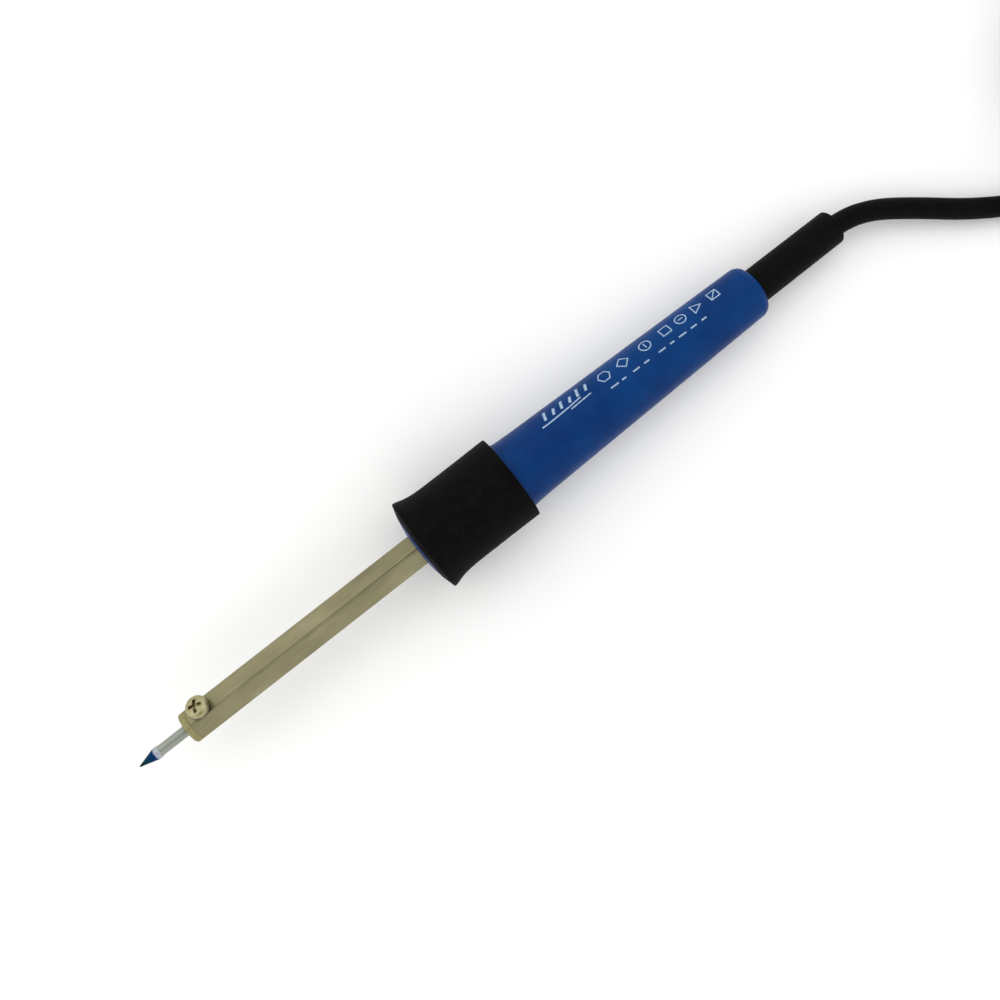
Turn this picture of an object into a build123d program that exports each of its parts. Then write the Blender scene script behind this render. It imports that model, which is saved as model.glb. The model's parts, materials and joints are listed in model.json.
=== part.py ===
from build123d import *
import os
from math import asin, cos, degrees, pi, radians, sin, sqrt, tan

# Mains soldering iron, millimetres.
# The iron lies on a table (z = 0) on its grip sleeve's front rim and on its handle's rear edge,
# so its axis slopes down from the bit to the cord. +X runs from the bit to the cord.
# "Station" is the distance along the iron's axis from the bit's point.

# ---- Stations along the iron's axis ----
CONE_END = 5.8
NOSE_START = 16.4
NOSE_SHOULDER = 17.15
BARREL_START = 18.8
SCREW_STATION = 23.3
NOSE_END = 28.0
BIT_END = 70.0
CORE_END = 80.0
BUSH_END = 92.0
CAP_START = 95.3
CAP_EDGE = 96.45
GRIP_START = 97.5
HANDLE_START = 100.3
CAP_END = 101.7
FLANGE_START = 101.95
SHELF_START = 103.0
SHELF_END = 113.0
BARREL_END = 116.0
GRIP_END = 128.3
HANDLE_WAIST = 150.0
CORD_END_START = 196.0
BOOT_FLANGE_START = 210.9
REAR_WALL_START = 212.8
REST_STATION = 213.0
HANDLE_END = 215.1
CORD_END_STOP = 238.0
BOOT_END = 244.1

# ---- Radii and sections ----
SHANK_RADIUS = 1.55
CONE_RADIUS = 1.8
RUNNING_GAP = 0.05
BARREL_FLATS = 9.2
BARREL_WALL = 0.6
SPIGOT_FLATS = 7.9
BARREL_EDGE_RADIUS = 0.8
SEAM_WIDTH = 0.3
SEAM_ACROSS = 0.35
GRIP_RIM_RADIUS = 14.25
GRIP_BORE = 10.65
GRIP_WAIST_RADIUS = 12.9
HANDLE_FRONT_RADIUS = 10.6
HANDLE_WAIST_RADIUS = 9.62
REST_RADIUS = 8.0
HANDLE_REAR_RADIUS = 5.8
CORD_RADIUS = 3.05
BOOT_BORE = 3.1
BOOT_FRONT_RADIUS = 5.26
BOOT_END_RADIUS = 5.14
BOOT_EDGE = 0.8
LEAD_OFFSET = 2.75
LEAD_RADIUS = 0.35
CORE_RADIUS = 1.05
CONDUCTOR_RADIUS = 0.5

# ---- Clamp screw, M3.5 by 0.6 ----
SCREW_LEAN = 30
SCREW_RADIUS = 1.75
SCREW_HEAD_RADIUS = 3.4
WASHER_THICKNESS = 0.9
WASHER_GAP = 0.03
HEAD_HEIGHT = 2.2

# ---- Hank of cord and plug ----
HANK_CENTRE = (253.0, -13.5)
HANK_FOLD_SPACING = 66.0
HANK_INNER_RADIUS = 15.25
HANK_OUTER_RADIUS = 27.45
HANK_BOTTOM = 0.6
HANK_HEIGHT = 18.3
PLUG_TAIL = (255.8, -25.5, 25.1)
PLUG_YAW = 8
PLUG_PITCH = 15
PLUG_BOOT_LENGTH = 20.0
PLUG_BODY_LENGTH = 38.0
PLUG_BODY_RADIUS = 18.5
PIN_RADIUS = 2.4
PIN_LENGTH = 19.0
PIN_ROOT_RADIUS = 2.0
PIN_ROOT_LENGTH = 8.0
PIN_SPACING = 19.0

os.makedirs("parts", exist_ok=True)

# ---- Lie of the iron ----
TILT = asin((GRIP_RIM_RADIUS - REST_RADIUS) / (REST_STATION - GRIP_START))
ALONG = Vector(cos(TILT), 0, -sin(TILT))
UP = Vector(sin(TILT), 0, cos(TILT))
ACROSS = Vector(0, 1, 0)
# The bounding box runs from the bit's point to the boot's upper rear edge.
BOX_LENGTH = BOOT_END * cos(TILT) + (BOOT_END_RADIUS - BOOT_EDGE) * sin(TILT)
POINT = Vector(-BOX_LENGTH / 2, 0, GRIP_RIM_RADIUS * cos(TILT) + GRIP_START * sin(TILT))


def inside(station, across=0.0, up=0.0):
    """Point at a station, moved across (+Y) and up from the iron's axis."""
    return POINT + ALONG * station + ACROSS * across + UP * up


def cross(station):
    """Cross-section plane: x across (+Y), y up, z along the iron."""
    return Plane(origin=inside(station), x_dir=ACROSS, z_dir=ALONG)


# Profile plane: x is the station, y the radius.
SIDE = Plane(origin=POINT, x_dir=ALONG, z_dir=(0, -1, 0))
IRON_AXIS = Axis(POINT, ALONG)

# The screw stands square on the barrel's upper +Y facet.
SCREW_OUT = ACROSS * sin(radians(SCREW_LEAN)) + UP * cos(radians(SCREW_LEAN))
FACET_RADIUS = BARREL_FLATS / 2


def screw_plane(out):
    """Plane square to the clamp screw at a distance from the iron's axis."""
    return Plane(origin=inside(SCREW_STATION) + SCREW_OUT * out, x_dir=ALONG, z_dir=SCREW_OUT)


def hexagon(station, flats, edge_radius):
    """Six-sided section at a station, with one edge up and its edges rounded."""
    with BuildSketch(cross(station)) as section:
        RegularPolygon(radius=flats / 2, side_count=6, major_radius=False, rotation=30)
        fillet(section.vertices(), edge_radius)
    return section.sketch


# ---- Bit ----
with BuildPart() as soldering_bit:
    with BuildSketch(SIDE):
        with BuildLine():
            Polyline((0, 0), (0.05, 0.15), (CONE_END - 0.3, CONE_RADIUS), (CONE_END + 0.7, CONE_RADIUS),
                     (CONE_END + 1.0, SHANK_RADIUS), (BIT_END - 0.4, SHANK_RADIUS),
                     (BIT_END, SHANK_RADIUS - 0.4), (BIT_END, 0), (0, 0))
        make_face()
    revolve(axis=IRON_AXIS)

# ---- Nose block: a low hexagonal nose, and a spigot inside the barrel ----
with BuildPart() as nose_block:
    loft([hexagon(NOSE_START, 7.4, 0.6).face(),
          hexagon(NOSE_SHOULDER, BARREL_FLATS, BARREL_EDGE_RADIUS).face()])
    extrude(hexagon(NOSE_SHOULDER, BARREL_FLATS, BARREL_EDGE_RADIUS), amount=BARREL_START - NOSE_SHOULDER)
    extrude(hexagon(BARREL_START, SPIGOT_FLATS, BARREL_EDGE_RADIUS / 2), amount=NOSE_END - BARREL_START)
    with BuildSketch(cross(NOSE_START - 1)):
        Circle(SHANK_RADIUS + RUNNING_GAP)
    extrude(amount=NOSE_END - NOSE_START + 2, mode=Mode.SUBTRACT)
    with BuildSketch(screw_plane(0)):
        Circle(SCREW_RADIUS + RUNNING_GAP)
    extrude(amount=FACET_RADIUS + 1, mode=Mode.SUBTRACT)

# ---- Barrel: folded sheet tube with its seam open beside the top edge ----
BARREL_LENGTH = BARREL_END - BARREL_START
with BuildPart() as barrel:
    extrude(hexagon(BARREL_START, BARREL_FLATS, BARREL_EDGE_RADIUS), amount=BARREL_LENGTH)
    extrude(hexagon(BARREL_START, BARREL_FLATS - 2 * BARREL_WALL, BARREL_EDGE_RADIUS / 2),
            amount=BARREL_LENGTH, mode=Mode.SUBTRACT)
    with BuildSketch(cross(BARREL_START)):
        with Locations((SEAM_ACROSS, BARREL_FLATS / 2)):
            Rectangle(SEAM_WIDTH, BARREL_FLATS / 2)
    extrude(amount=BARREL_LENGTH, mode=Mode.SUBTRACT)
    with BuildSketch(screw_plane(1)):
        Circle(SCREW_RADIUS + 2 * RUNNING_GAP)
    extrude(amount=FACET_RADIUS, mode=Mode.SUBTRACT)

# ---- Clamp screw and its washer ----
HEAD_BASE = FACET_RADIUS + WASHER_GAP + WASHER_THICKNESS + WASHER_GAP
with BuildPart() as lock_washer:
    with BuildSketch(screw_plane(FACET_RADIUS + WASHER_GAP)):
        Circle(SCREW_HEAD_RADIUS - 0.3)
        Circle(SCREW_RADIUS + 2 * RUNNING_GAP, mode=Mode.SUBTRACT)
        with Locations((SCREW_HEAD_RADIUS - 0.9, 0)):
            Rectangle(2.4, 0.5, rotation=35, mode=Mode.SUBTRACT)
    extrude(amount=WASHER_THICKNESS)

with BuildPart() as clamp_screw:
    with BuildSketch(screw_plane(SHANK_RADIUS + RUNNING_GAP)):
        Circle(SCREW_RADIUS)
    extrude(amount=HEAD_BASE - SHANK_RADIUS - RUNNING_GAP)
    chamfer(clamp_screw.edges().sort_by(Axis(inside(SCREW_STATION), SCREW_OUT))[0], 0.4)
    with BuildSketch(screw_plane(HEAD_BASE)):
        Circle(SCREW_HEAD_RADIUS)
    extrude(amount=HEAD_HEIGHT)
    fillet(clamp_screw.edges().sort_by(Axis(inside(SCREW_STATION), SCREW_OUT))[-1], 1.3)
    with BuildSketch(screw_plane(HEAD_BASE + HEAD_HEIGHT)):
        Rectangle(3.7, 0.8)
        Rectangle(0.8, 3.7)
    extrude(amount=-1.6, mode=Mode.SUBTRACT)

# ---- Heating element ----
ELEMENT_START = 32.0
ELEMENT_END = 73.0
MICA_INNER_RADIUS = 2.3
WIRE_RADIUS = 0.2
WINDING_RADIUS = MICA_INNER_RADIUS + WIRE_RADIUS
WINDING_PITCH = 1.6
CORE_OUTER_RADIUS = 2.05


def sleeve(start, end, outer, inner, places=((0, 0),)):
    """One or more round sleeves between two stations; an inner radius of 0 makes a rod."""
    with BuildPart() as tube:
        with BuildSketch(cross(start)):
            with Locations(*places):
                Circle(outer)
                if inner > 0:
                    Circle(inner, mode=Mode.SUBTRACT)
        extrude(amount=end - start)
    return tube


PAIR = ((LEAD_OFFSET, 0), (-LEAD_OFFSET, 0))
core_tube = sleeve(NOSE_END, CORE_END, CORE_OUTER_RADIUS, SHANK_RADIUS + 0.08)
mica_inner = sleeve(30.0, 78.0, MICA_INNER_RADIUS, CORE_OUTER_RADIUS)
mica_outer = sleeve(ELEMENT_START, ELEMENT_END - 1.1, 2.95, WINDING_RADIUS + WIRE_RADIUS + 0.02)
element_leads = sleeve(ELEMENT_END - 1.0, 121.8, LEAD_RADIUS, 0, PAIR)
lead_sleeving = sleeve(BUSH_END + 0.3, 116.5, 0.8, 0.4, PAIR)
crimp_splices = sleeve(118.5, 126.0, 1.1, 0.55, PAIR)
splice_sleeves = sleeve(116.9, 128.5, 1.55, 1.15, PAIR)

with BuildPart() as heater_winding:
    with BuildLine() as turns:
        Helix(WINDING_PITCH, ELEMENT_END - ELEMENT_START - 1, WINDING_RADIUS,
              center=inside(ELEMENT_START + 0.5), direction=ALONG)
    with BuildSketch(Plane(origin=turns.line @ 0, z_dir=turns.line % 0)):
        Circle(WIRE_RADIUS)
    sweep(is_frenet=True)

with BuildPart() as rear_insulator:
    with BuildSketch(cross(CORE_END + 0.2)):
        Circle(3.85)
        with Locations(*PAIR):
            Circle(LEAD_RADIUS + RUNNING_GAP, mode=Mode.SUBTRACT)
    extrude(amount=BUSH_END - CORE_END - 0.2)
    chamfer(rear_insulator.faces().sort_by(IRON_AXIS)[0].outer_wire().edges(), 0.5)

# ---- Barrel flange, its screws, and the earth tag ----
FLANGE_SCREW_OFFSET = 6.3
FLANGE_PLACES = ((FLANGE_SCREW_OFFSET, 0), (-FLANGE_SCREW_OFFSET, 0))
with BuildPart() as barrel_flange:
    with BuildSketch(cross(FLANGE_START)):
        Circle(8.3)
        RegularPolygon(radius=FACET_RADIUS + 0.03, side_count=6, major_radius=False, rotation=30,
                       mode=Mode.SUBTRACT)
        with Locations(*FLANGE_PLACES):
            Circle(1.25, mode=Mode.SUBTRACT)
    extrude(amount=SHELF_START - FLANGE_START)

with BuildPart() as flange_screws:
    with BuildSketch(cross(FLANGE_START)):
        with Locations(*FLANGE_PLACES):
            Circle(1.15)
    extrude(amount=7.0)
    with BuildSketch(cross(FLANGE_START)):
        with Locations(*FLANGE_PLACES):
            Circle(1.6)
    extrude(amount=-1.2)
    with BuildSketch(cross(FLANGE_START - 1.2)):
        with Locations(*FLANGE_PLACES):
            Rectangle(2.0, 0.5)
            Rectangle(0.5, 2.0)
    extrude(amount=0.7, mode=Mode.SUBTRACT)

# The tag lies on the barrel's lower -Y facet, whose normal points down and away from +Y.
TAG_OUT = ACROSS * -sin(radians(SCREW_LEAN)) - UP * cos(radians(SCREW_LEAN))
TAG_START = 113.4
TAG_CRIMP_START = 119.0
TAG_CRIMP_RADIUS = 1.1
TAG_THICKNESS = 0.5
CRIMP_OUT = FACET_RADIUS + TAG_THICKNESS + TAG_CRIMP_RADIUS - 0.2
TAG_PLACE = (-CRIMP_OUT * sin(radians(SCREW_LEAN)), -CRIMP_OUT * cos(radians(SCREW_LEAN)))
with BuildPart() as earth_tag:
    with BuildSketch(Plane(origin=inside(TAG_START) + TAG_OUT * FACET_RADIUS, x_dir=ALONG, z_dir=TAG_OUT)):
        with Locations(((124.0 - TAG_START) / 2, 0)):
            RectangleRounded(124.0 - TAG_START, 3.4, 0.6)
    extrude(amount=TAG_THICKNESS)
    with BuildSketch(cross(TAG_CRIMP_START)):
        with Locations(TAG_PLACE):
            Circle(TAG_CRIMP_RADIUS)
    extrude(amount=5.0)
    with BuildSketch(cross(TAG_CRIMP_START)):
        with Locations(TAG_PLACE):
            Circle(CONDUCTOR_RADIUS + RUNNING_GAP)
    extrude(amount=5.0, mode=Mode.SUBTRACT)

# ---- Cores: three insulated wires from the cord's end to the crimps and the tag ----
CORE_RING = 1.32


def core(ending, start_station, corner_station, angle):
    """One core with its bared end: straight, two gentle bends, straight into the cord."""
    across, up = CORE_RING * cos(radians(angle)), CORE_RING * sin(radians(angle))
    with BuildPart() as wire:
        with BuildLine():
            FilletPolyline(inside(start_station, *ending), inside(146.0, *ending),
                           inside(corner_station, across, up), inside(CORD_END_START, across, up), radius=60)
        with BuildSketch(cross(start_station)):
            with Locations(ending):
                Circle(CORE_RADIUS)
        sweep()
        with BuildSketch(cross(start_station)):
            with Locations(ending):
                Circle(CONDUCTOR_RADIUS)
        extrude(amount=-4.5)
    return wire


core_brown = core((LEAD_OFFSET, 0), 127.0, 172.0, 30)
core_blue = core((-LEAD_OFFSET, 0), 127.0, 172.0, 150)
core_green_yellow = core(TAG_PLACE, 124.6, 174.0, 270)

# ---- Handle: one moulding with a shelf for the flange and a rear wall for the boot ----
with BuildPart() as handle:
    with BuildSketch(SIDE):
        with BuildLine():
            Polyline((HANDLE_START, 8.7), (HANDLE_START, HANDLE_FRONT_RADIUS), (GRIP_END, HANDLE_FRONT_RADIUS),
                     (GRIP_END + 0.05, 10.3))
            ThreePointArc((GRIP_END + 0.05, 10.3), (138.0, 9.93), (HANDLE_WAIST, HANDLE_WAIST_RADIUS))
            Line((HANDLE_WAIST, HANDLE_WAIST_RADIUS), (REST_STATION, REST_RADIUS))
            ThreePointArc((REST_STATION, REST_RADIUS), (REST_STATION + 1.5, REST_RADIUS - 0.75),
                          (HANDLE_END, HANDLE_REAR_RADIUS))
            Polyline((HANDLE_END, HANDLE_REAR_RADIUS), (HANDLE_END, 4.35), (REAR_WALL_START, 4.35),
                     (REAR_WALL_START, 6.0), (HANDLE_WAIST, 7.6), (SHELF_END + 2, 8.4), (SHELF_END, 5.9),
                     (SHELF_START, 5.9), (SHELF_START, 8.7), (HANDLE_START, 8.7))
        make_face()
    revolve(axis=IRON_AXIS)
    with BuildSketch(cross(SHELF_START)):
        with Locations(*FLANGE_PLACES):
            Circle(1.2)
    extrude(amount=7.0, mode=Mode.SUBTRACT)

# ---- Front cap: a domed plug in the front of the sleeve, with a skirt in the handle ----
with BuildPart() as front_cap:
    with BuildSketch(SIDE):
        with BuildLine():
            ThreePointArc((CAP_START, 0), (CAP_START + 0.5, 7.0), (CAP_EDGE, GRIP_BORE - 0.1))
            Polyline((CAP_EDGE, GRIP_BORE - 0.1), (HANDLE_START - 0.05, GRIP_BORE - 0.1),
                     (HANDLE_START - 0.05, 8.65), (CAP_END, 8.65), (CAP_END, 8.3), (CAP_START + 3.2, 8.0),
                     (CAP_START + 2.4, 0), (CAP_START, 0))
        make_face()
    revolve(axis=IRON_AXIS)
    with BuildSketch(cross(CAP_START - 1)):
        RegularPolygon(radius=FACET_RADIUS + 0.05, side_count=6, major_radius=False, rotation=30)
    extrude(amount=10.0, mode=Mode.SUBTRACT)

# ---- Grip sleeve ----
with BuildPart() as grip_sleeve:
    with BuildSketch(SIDE):
        with BuildLine():
            Line((GRIP_START, GRIP_RIM_RADIUS), (GRIP_START + 0.7, GRIP_RIM_RADIUS - 0.05))
            ThreePointArc((GRIP_START + 0.7, GRIP_RIM_RADIUS - 0.05), (GRIP_START + 3.0, 13.6),
                          (GRIP_START + 6.5, GRIP_WAIST_RADIUS + 0.08))
            Polyline((GRIP_START + 6.5, GRIP_WAIST_RADIUS + 0.08), (118.0, GRIP_WAIST_RADIUS),
                     (GRIP_END, GRIP_WAIST_RADIUS + 0.06), (GRIP_END, GRIP_BORE), (CAP_EDGE, GRIP_BORE),
                     (GRIP_START, GRIP_RIM_RADIUS))
        make_face()
    revolve(axis=IRON_AXIS)

# ---- Cord entry ----
cord_end = sleeve(CORD_END_START, CORD_END_STOP, CORD_RADIUS, 0)

with BuildPart() as cord_clamp:
    with BuildSketch(SIDE):
        with Locations((206.75, (4.1 + CORD_RADIUS + 0.02) / 2)):
            Rectangle(6.5, 4.1 - CORD_RADIUS - 0.02)
        with Locations((205.4, 4.1), (208.1, 4.1)):
            Rectangle(0.9, 0.8, mode=Mode.SUBTRACT)
    revolve(axis=IRON_AXIS)

with BuildPart() as cord_boot:
    with BuildSketch(SIDE):
        with BuildLine():
            Polyline((BOOT_FLANGE_START, BOOT_BORE), (BOOT_FLANGE_START, 5.4), (REAR_WALL_START - 0.05, 5.4),
                     (REAR_WALL_START - 0.05, 4.3), (HANDLE_END + 0.05, 4.3), (HANDLE_END + 0.05, BOOT_FRONT_RADIUS),
                     (BOOT_END - BOOT_EDGE, BOOT_END_RADIUS))
            ThreePointArc((BOOT_END - BOOT_EDGE, BOOT_END_RADIUS),
                          (BOOT_END - 0.3 * BOOT_EDGE, BOOT_END_RADIUS - 0.3 * BOOT_EDGE),
                          (BOOT_END, BOOT_END_RADIUS - BOOT_EDGE))
            Polyline((BOOT_END, BOOT_END_RADIUS - BOOT_EDGE), (BOOT_END, BOOT_BORE),
                     (BOOT_FLANGE_START, BOOT_BORE))
        make_face()
    revolve(axis=IRON_AXIS)

# ---- Free cord ----
YAW, PITCH = radians(PLUG_YAW), radians(PLUG_PITCH)
PLUG_OUT = Vector(cos(PITCH) * cos(YAW), cos(PITCH) * sin(YAW), sin(PITCH))
PLUG_SIDE_DIR = Vector(-sin(YAW), cos(YAW), 0)

# From inside the boot, down to the table, and into the hank's outer run.
LEAD_ROUTE = [(115.66, 0, 6.63), (124.15, 0, 6.17), (133.8, -2.9, 5.35), (144.2, -10.2, 4.5),
              (158.8, -22.0, 3.5), (178.4, -33.2, 3.1), (199.0, -37.4, 3.2), (220.0, -37.9, 3.65)]
# From the hank's top layer up to the plug.
TAIL_ROUTE = [(212.2, -30.6, 15.85), (220.7, -31.9, 15.9), (231.7, -30.2, 18.0), (244.32, -27.11, 21.99),
              PLUG_TAIL]


def corner_radii(route):
    """Each corner's radius: 0.45 of its shorter run over the tangent of half its turn."""
    points = [Vector(*place) for place in route]
    radii = []
    for before, here, after in zip(points, points[1:], points[2:]):
        turn = (here - before).get_angle(after - here)
        shorter = min((here - before).length, (after - here).length)
        radii.append(0.45 * shorter / tan(radians(turn) / 2))
    return radii


def cord_tube(label, route):
    """Round cord along straight runs joined by tangent arcs."""
    radii = corner_radii(route)
    start, second = Vector(*route[0]), Vector(*route[1])
    with BuildPart() as tube:
        with BuildLine() as path:
            FilletPolyline(*route, radius=radii)
        with BuildSketch(Plane(origin=start, z_dir=second - start)):
            Circle(CORD_RADIUS)
        sweep()
    length = sum(edge.length for edge in path.edges())
    print(label, "radii", [round(radius, 1) for radius in radii], "length", round(length, 1),
          "volume over section times length", round(tube.part.volume / (pi * CORD_RADIUS**2 * length), 4))
    return tube


cord_lead = cord_tube("cord_lead", LEAD_ROUTE)
cord_tail = cord_tube("cord_tail", TAIL_ROUTE)

HANK_PLANE = Plane(origin=(HANK_CENTRE[0], HANK_CENTRE[1], HANK_BOTTOM))
with BuildPart() as cord_hank:
    with BuildSketch(HANK_PLANE):
        SlotCenterToCenter(HANK_FOLD_SPACING, 2 * HANK_OUTER_RADIUS)
        SlotCenterToCenter(HANK_FOLD_SPACING, 2 * HANK_INNER_RADIUS, mode=Mode.SUBTRACT)
    extrude(amount=HANK_HEIGHT)
    fillet(cord_hank.edges().filter_by(GeomType.LINE, reverse=True).filter_by(Plane.XY), 2.8)

TIE_THICKNESS = 0.6
TIE_WIDTH = 5.0
BUNDLE_MIDDLE = (HANK_INNER_RADIUS + HANK_OUTER_RADIUS) / 2
BUNDLE_WIDTH = HANK_OUTER_RADIUS - HANK_INNER_RADIUS
with BuildPart() as hank_ties:
    for tie_x, side in ((HANK_CENTRE[0] - 6.0, 1), (HANK_CENTRE[0] + 16.0, -1)):
        tie_place = Plane(origin=(tie_x, HANK_CENTRE[1] + side * BUNDLE_MIDDLE, HANK_BOTTOM + HANK_HEIGHT / 2),
                          x_dir=(0, 1, 0), z_dir=(1, 0, 0))
        with BuildSketch(tie_place):
            RectangleRounded(BUNDLE_WIDTH + 2 * TIE_THICKNESS, HANK_HEIGHT + 2 * TIE_THICKNESS, 3.4)
            RectangleRounded(BUNDLE_WIDTH + 0.02, HANK_HEIGHT + 0.02, 2.8, mode=Mode.SUBTRACT)
        extrude(amount=TIE_WIDTH)


# ---- Plug: earthed, with two round pins ----
def plug_plane(distance):
    """Plane square to the plug at a distance from the end of its boot."""
    return Plane(origin=Vector(*PLUG_TAIL) + PLUG_OUT * distance, x_dir=PLUG_SIDE_DIR, z_dir=PLUG_OUT)


PLUG_PROFILE = Plane(origin=PLUG_TAIL, x_dir=PLUG_OUT, z_dir=PLUG_OUT.cross(PLUG_OUT.cross(PLUG_SIDE_DIR)))
PLUG_AXIS = Axis(PLUG_TAIL, PLUG_OUT)
PLUG_FACE = PLUG_BOOT_LENGTH + PLUG_BODY_LENGTH
BODY_START = PLUG_BOOT_LENGTH
CLIP_WIDTH = 6.0
CLIP_DEPTH = 12.0
with BuildPart() as plug_boot:
    with BuildSketch(PLUG_PROFILE):
        with BuildLine():
            Polyline((0.05, 0), (0.05, 4.3), (BODY_START - 0.02, 6.6), (BODY_START - 0.02, 0), (0.05, 0))
        make_face()
    revolve(axis=PLUG_AXIS)
    for groove in (4.0, 7.6, 11.2, 14.8):
        with BuildSketch(plug_plane(groove)):
            Circle(7.5)
            Circle(3.9, mode=Mode.SUBTRACT)
        extrude(amount=1.2, mode=Mode.SUBTRACT)

with BuildPart() as plug_body:
    with BuildSketch(PLUG_PROFILE):
        with BuildLine():
            Line((BODY_START, 0), (BODY_START, 7.6))
            Spline((BODY_START, 7.6), (BODY_START + 12, 11.0), (BODY_START + 22, 14.5), (BODY_START + 26, 18.0))
            Polyline((BODY_START + 26, 18.0), (BODY_START + 26.6, PLUG_BODY_RADIUS),
                     (PLUG_FACE - 1.0, PLUG_BODY_RADIUS), (PLUG_FACE, PLUG_BODY_RADIUS - 1.0),
                     (PLUG_FACE, 0), (BODY_START, 0))
        make_face()
    revolve(axis=PLUG_AXIS)
    with BuildSketch(plug_plane(PLUG_FACE)):
        with Locations((0, 17.5), (0, -17.5)):
            Rectangle(CLIP_WIDTH + 0.6, 4.0)
    extrude(amount=-CLIP_DEPTH, mode=Mode.SUBTRACT)
    with BuildSketch(plug_plane(PLUG_FACE)):
        with Locations((PIN_SPACING / 2, 0), (-PIN_SPACING / 2, 0)):
            Circle(PIN_ROOT_RADIUS + 0.02)
    extrude(amount=-PIN_ROOT_LENGTH, mode=Mode.SUBTRACT)

with BuildPart() as plug_pins:
    with BuildSketch(plug_plane(PLUG_FACE)):
        with Locations((PIN_SPACING / 2, 0), (-PIN_SPACING / 2, 0)):
            Circle(PIN_ROOT_RADIUS)
    extrude(amount=-PIN_ROOT_LENGTH)
    with BuildSketch(plug_plane(PLUG_FACE)):
        with Locations((PIN_SPACING / 2, 0), (-PIN_SPACING / 2, 0)):
            Circle(PIN_RADIUS)
    extrude(amount=PIN_LENGTH)
    fillet(plug_pins.faces().sort_by(PLUG_AXIS)[-2:].edges(), 1.4)

with BuildPart() as plug_earth_clips:
    with BuildSketch(plug_plane(PLUG_FACE - 0.6)):
        with Locations((0, 16.0), (0, -16.0)):
            Rectangle(CLIP_WIDTH, 0.8)
    extrude(amount=-(CLIP_DEPTH - 0.7))

PIECES = {
    "soldering_bit": soldering_bit, "nose_block": nose_block, "barrel": barrel, "lock_washer": lock_washer,
    "clamp_screw": clamp_screw, "core_tube": core_tube, "mica_inner": mica_inner,
    "heater_winding": heater_winding, "mica_outer": mica_outer, "rear_insulator": rear_insulator,
    "element_leads": element_leads, "lead_sleeving": lead_sleeving, "barrel_flange": barrel_flange,
    "flange_screws": flange_screws, "front_cap": front_cap, "handle": handle, "grip_sleeve": grip_sleeve,
    "crimp_splices": crimp_splices, "splice_sleeves": splice_sleeves, "core_brown": core_brown,
    "core_blue": core_blue, "core_green_yellow": core_green_yellow, "earth_tag": earth_tag,
    "cord_clamp": cord_clamp, "cord_end": cord_end, "cord_boot": cord_boot, "cord_lead": cord_lead,
    "cord_hank": cord_hank, "hank_ties": hank_ties, "cord_tail": cord_tail, "plug_boot": plug_boot,
    "plug_body": plug_body, "plug_pins": plug_pins, "plug_earth_clips": plug_earth_clips,
}
for name, piece in PIECES.items():
    piece.part.label = name
    export_step(piece.part, f"parts/{name}.step")
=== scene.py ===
import json
import math

import bmesh
import bpy
import numpy as np
from bpy.props import FloatProperty, IntProperty, PointerProperty, StringProperty
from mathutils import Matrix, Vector


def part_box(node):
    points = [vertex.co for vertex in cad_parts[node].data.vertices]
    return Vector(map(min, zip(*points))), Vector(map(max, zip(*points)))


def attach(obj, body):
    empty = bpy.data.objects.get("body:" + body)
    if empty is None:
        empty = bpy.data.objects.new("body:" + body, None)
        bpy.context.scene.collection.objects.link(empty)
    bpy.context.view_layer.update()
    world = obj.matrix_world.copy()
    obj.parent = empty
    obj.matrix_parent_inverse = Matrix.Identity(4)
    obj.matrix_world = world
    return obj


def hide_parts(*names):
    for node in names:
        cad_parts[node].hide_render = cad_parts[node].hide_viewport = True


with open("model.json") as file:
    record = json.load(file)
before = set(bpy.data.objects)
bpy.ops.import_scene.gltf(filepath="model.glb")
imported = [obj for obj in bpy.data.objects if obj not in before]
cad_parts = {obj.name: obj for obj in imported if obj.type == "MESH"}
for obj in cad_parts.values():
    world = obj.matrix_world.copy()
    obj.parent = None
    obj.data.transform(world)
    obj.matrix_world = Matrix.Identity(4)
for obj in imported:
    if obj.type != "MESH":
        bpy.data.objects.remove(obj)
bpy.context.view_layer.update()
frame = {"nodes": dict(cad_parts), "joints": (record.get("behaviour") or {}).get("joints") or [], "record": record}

bl_info = {
    "name": "Soldering Iron",
    "version": (1, 0, 0),
    "blender": (4, 5, 0),
    "location": "3D View > Sidebar > Iron",
    "description": "Builds a mains soldering iron, lying on a table, piece by piece",
    "category": "Add Mesh",
}

MM = 0.001

# ---- Lie of the iron, from the frame ----
JOINTS = {joint["name"]: joint for joint in frame["joints"]}
ALONG = -np.array(JOINTS["bit_slide"]["axis"])
ACROSS = np.array([0.0, 1.0, 0.0])
UP = np.cross(ALONG, ACROSS)
SCREW_OUT = np.array(JOINTS["screw_turn"]["axis"])
GRIP_START, GRIP_RIM = 97.5, 14.25
POINT = np.array([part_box("soldering_bit")[0].x / MM, 0.0, GRIP_RIM * UP[2] - GRIP_START * ALONG[2]])

# ---- Stations along the iron and radii, millimetres ----
CONE_END = 5.8
CONE_RADIUS = 1.8
SHANK_RADIUS = 1.55
NOSE_START = 16.4
BARREL_START = 18.8
SCREW_STATION = 23.3
NOSE_END = 28.0
BIT_END = 70.0
CAP_START = 95.3
CAP_EDGE = 96.45
HANDLE_START = 100.3
CAP_END = 101.7
SHELF_START = 103.0
SHELF_END = 113.0
BARREL_END = 116.0
GRIP_END = 128.3
BOOT_FLANGE_START = 210.9
REAR_WALL_START = 212.8
REST_STATION = 213.0
HANDLE_END = 215.1
BOOT_END = 244.1
# The clamp screw's own heights, out from the iron's axis, and its thread.
HEAD_SEAT = 5.56
HEAD_HEIGHT = 2.2
WASHER_MIDDLE = 4.99
THREAD_PITCH = 0.6
THREAD_MIDDLE = 1.65
BARREL_FLATS = 9.2
BARREL_WALL = 0.6
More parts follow.
